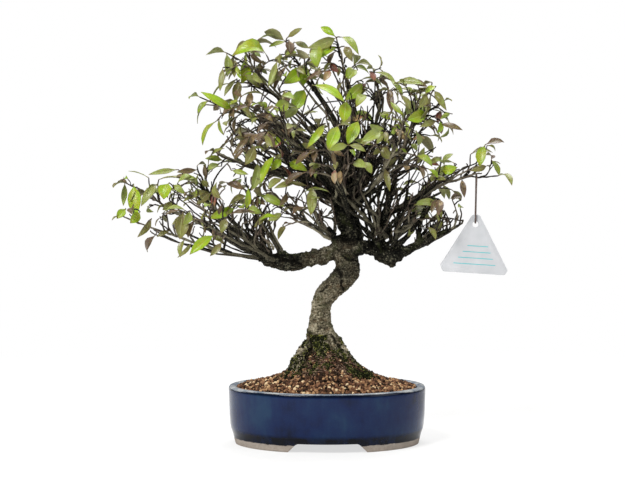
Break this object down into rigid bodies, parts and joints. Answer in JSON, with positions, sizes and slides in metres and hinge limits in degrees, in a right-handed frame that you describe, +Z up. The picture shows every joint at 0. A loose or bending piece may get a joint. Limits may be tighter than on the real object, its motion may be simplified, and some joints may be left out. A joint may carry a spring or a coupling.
{
  "type": "potted bonsai tree",
  "caption": "Asiatic jasmine bonsai with a bent trunk, fanned leafy twigs and a blank hanging label, in an oval glazed pot.",
  "frame": {"origin": "on the table, below the middle of the whole bonsai's box", "axes": "+Z up along the trunk; -Y towards the side the tree is shown from; +X to the right in that view"},
  "size_m": [0.394, 0.1882, 0.4166],
  "materials": {
    "glazed_pot": "glossy navy glaze, bare clay at the feet",
    "soil": "loose baked clay and pumice granules",
    "bark": "rough grey-brown bark, mossy at the base",
    "foliage": "living twigs with smooth lime to bronze leaves",
    "label_plastic": "satin white, blank",
    "wire": "brown coated wire",
    "screen_plastic": "black moulded mesh"
  },
  "bodies": {
    "root": {"pot": "glazed_pot", "drain_screen_left": "screen_plastic", "drain_screen_right": "screen_plastic", "soil": "soil", "trunk": "bark", "spray_crown_back": "foliage", "spray_crown_back_left": "foliage", "spray_crown_back_right": "foliage", "spray_crown_front": "foliage", "spray_crown_front_left": "foliage", "spray_crown_front_right": "foliage", "spray_crown_left_high": "foliage", "spray_crown_left_low": "foliage", "spray_crown_left_mid": "foliage", "spray_crown_right_high": "foliage", "spray_crown_right_mid": "foliage", "spray_crown_top": "foliage", "spray_crown_top_left": "foliage", "spray_left_back": "foliage", "spray_left_front": "foliage", "spray_left_high": "foliage", "spray_left_inner": "foliage", "spray_left_low": "foliage", "spray_left_mid": "foliage", "spray_middle": "foliage", "spray_right_arm": "foliage", "spray_right_back": "foliage", "spray_right_low": "foliage", "label": "label_plastic", "label_wire": "wire"}
  },
  "joints": []
}
